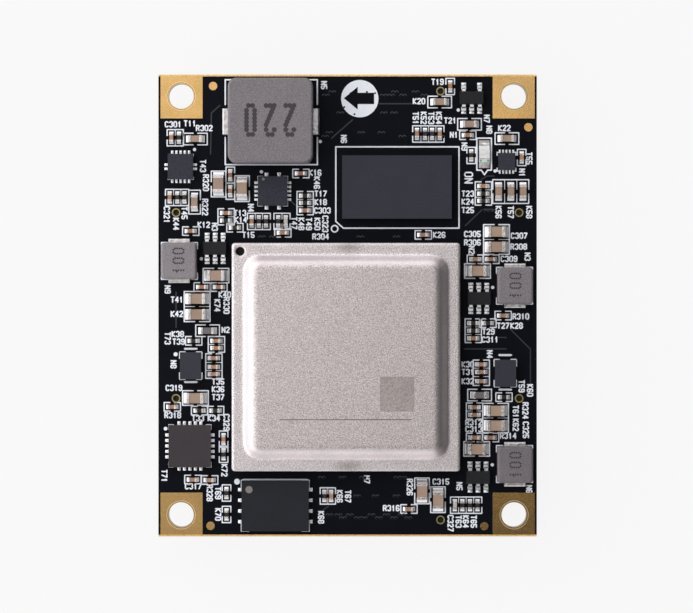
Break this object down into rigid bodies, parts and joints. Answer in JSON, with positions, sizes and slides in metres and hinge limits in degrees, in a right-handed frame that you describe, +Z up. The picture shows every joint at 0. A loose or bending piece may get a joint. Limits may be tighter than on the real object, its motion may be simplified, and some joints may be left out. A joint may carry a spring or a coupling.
{
  "type": "system on module",
  "caption": "Rectangular black circuit module with a nickel-lidded processor, memory and power parts on top, gold screw corners, and board-to-board connectors underneath.",
  "frame": {"origin": "below the centre of the board, on the plane of the connector mouths that the module stands on", "axes": "+X to the east edge, +Y along the board to the edge with the main inductor, +Z up from the connectors to the processor lid"},
  "size_m": [0.045, 0.055, 0.0086],
  "materials": {
    "board_mask": "satin black solder mask",
    "gold": "bare gold plating",
    "tin": "bright tin and solder",
    "lid_nickel": "fine matt nickel plating",
    "laminate": "dark green laminate",
    "silicon": "polished silicon",
    "paste": "grey paste",
    "adhesive": "black adhesive",
    "memory_moulding": "smooth violet-black moulding",
    "black_moulding": "fine-grained black moulding",
    "oscillator_moulding": "dark slate moulding",
    "core_powder": "pressed grey metal powder",
    "ceramic_brown": "fired brown ceramic",
    "ceramic_tan": "fired tan ceramic",
    "resistor_glaze": "black glaze",
    "ferrite": "grey ferrite",
    "lamp_white": "white lamp base",
    "lamp_clear": "cloudy clear resin",
    "connector_plastic": "black heat-proof plastic",
    "contact_gold": "gold plated contact"
  },
  "bodies": {
    "root": {"circuit_board": "board_mask", "corner_lands": "gold", "fiducials": "gold", "peg_hole_rings": "gold", "processor_balls": "tin", "processor_substrate": "laminate", "processor_die": "silicon", "thermal_paste": "paste", "lid_adhesive": "adhesive", "processor_lid": "lid_nickel", "memory_balls": "tin", "memory_substrate": "laminate", "memory_mould": "memory_moulding", "flash_body": "black_moulding", "flash_leads": "tin", "main_inductor_core": "core_powder", "main_inductor_terminals": "tin", "small_inductor_cores": "core_powder", "small_inductor_terminals": "tin", "large_regulator_body": "black_moulding", "large_regulator_leads": "tin", "core_regulator_body": "black_moulding", "core_regulator_leads": "tin", "small_regulator_body": "black_moulding", "small_regulator_leads": "tin", "load_switch_body": "black_moulding", "load_switch_leads": "tin", "converter_bodies": "black_moulding", "converter_leads": "tin", "supervisor_body": "black_moulding", "supervisor_leads": "tin", "oscillator_bodies": "oscillator_moulding", "oscillator_pads": "tin", "lamp_base": "lamp_white", "lamp_lens": "lamp_clear", "lamp_terminals": "tin", "small_capacitor_bodies": "ceramic_brown", "small_capacitor_ends": "tin", "medium_capacitor_bodies": "ceramic_tan", "medium_capacitor_ends": "tin", "large_capacitor_bodies": "ceramic_tan", "large_capacitor_ends": "tin", "resistor_bodies": "resistor_glaze", "resistor_ends": "tin", "bead_bodies": "ferrite", "bead_ends": "tin", "underside_capacitor_bodies": "ceramic_brown", "underside_capacitor_ends": "tin", "solder_joints": "tin", "connector_north": "connector_plastic", "connector_south": "connector_plastic", "connector_west": "connector_plastic", "connector_east": "connector_plastic", "contacts_north": "contact_gold", "contacts_south": "contact_gold", "contacts_west": "contact_gold", "contacts_east": "contact_gold"}
  },
  "joints": []
}
